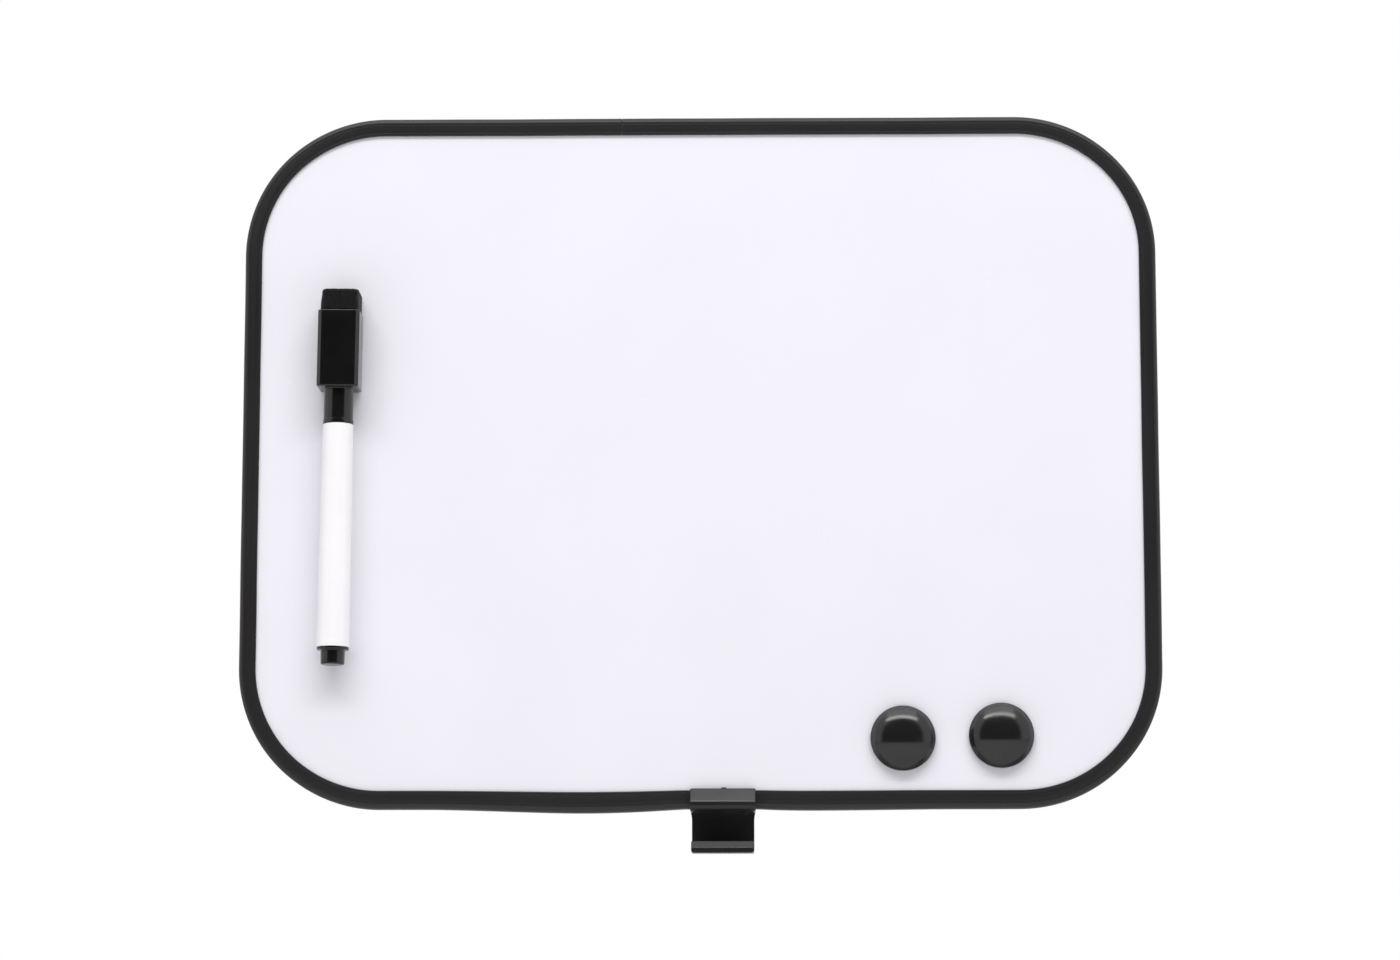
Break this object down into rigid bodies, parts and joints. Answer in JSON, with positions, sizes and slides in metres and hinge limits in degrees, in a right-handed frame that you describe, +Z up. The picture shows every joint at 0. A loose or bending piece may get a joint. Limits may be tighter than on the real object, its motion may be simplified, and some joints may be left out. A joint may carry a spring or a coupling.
{
  "type": "whiteboard",
  "caption": "Letter-size dry-erase board with rounded corners and soft black edging, a sliding marker clip, dome magnets and a capped marker with eraser.",
  "frame": {"origin": "the board's centre on the wall plane, which the mounting pads touch", "axes": "+X runs right along the board's width, +Y points back to the wall, +Z points up"},
  "size_m": [0.28, 0.02, 0.2275],
  "materials": {
    "white_steel": "glossy white coating on thin steel",
    "fibreboard": "raw hard fibreboard",
    "backing_paper": "matte grey backing paper",
    "soft_black_plastic": "soft extruded plastic, satin",
    "joiner_plastic": "plain strip",
    "clip_plastic": "moulded, semi-gloss",
    "magnet_plastic": "moulded, high gloss",
    "ferrite": "sintered ferrite, matte",
    "cap_plastic": "moulded, gloss",
    "magnet_metal": "nickel plated",
    "felt": "pressed felt",
    "white_plastic": "moulded, gloss",
    "nose_plastic": "moulded, satin",
    "nib_fibre": "pressed fibre, inked",
    "store_fibre": "bonded fibre",
    "clear_film": "thin clear film",
    "foam": "closed-cell foam tape",
    "liner_paper": "waxed release paper"
  },
  "bodies": {
    "board": {"writing_sheet": "white_steel", "core_panel": "fibreboard", "backing_sheet": "backing_paper", "edge_frame": "soft_black_plastic", "frame_joiner": "joiner_plastic", "top_left_pad": "foam", "top_right_pad": "foam", "bottom_left_pad": "foam", "bottom_right_pad": "foam", "top_left_liner": "liner_paper", "top_right_liner": "liner_paper", "bottom_left_liner": "liner_paper", "bottom_right_liner": "liner_paper"},
    "clip": {"marker_clip": "clip_plastic"},
    "left_magnet": {"left_magnet_cap": "magnet_plastic", "left_magnet_disc": "ferrite"},
    "right_magnet": {"right_magnet_cap": "magnet_plastic", "right_magnet_disc": "ferrite"},
    "marker": {"marker_barrel": "white_plastic", "marker_nose": "nose_plastic", "marker_nib": "nib_fibre", "ink_store": "store_fibre", "store_wrap": "clear_film", "end_plug": "cap_plastic"},
    "cap": {"marker_cap": "cap_plastic", "cap_magnet": "magnet_metal", "eraser_pad": "felt"}
  },
  "joints": [
    {"name": "clip_slide", "type": "slide", "parent": "board", "child": "clip", "axis": [1, 0, 0], "range_m": [-0.093, 0.079]},
    {"name": "left_magnet_pull", "type": "slide", "parent": "board", "child": "left_magnet", "axis": [0, -1, 0], "range_m": [0, 0.03]},
    {"name": "right_magnet_pull", "type": "slide", "parent": "board", "child": "right_magnet", "axis": [0, -1, 0], "range_m": [0, 0.03]},
    {"name": "marker_lift", "type": "slide", "parent": "board", "child": "marker", "axis": [0, -1, 0], "range_m": [0, 0.03]},
    {"name": "cap_pull", "type": "slide", "parent": "marker", "child": "cap", "axis": [0.0105, 0, 0.9999], "range_m": [0, 0.035]}
  ]
}
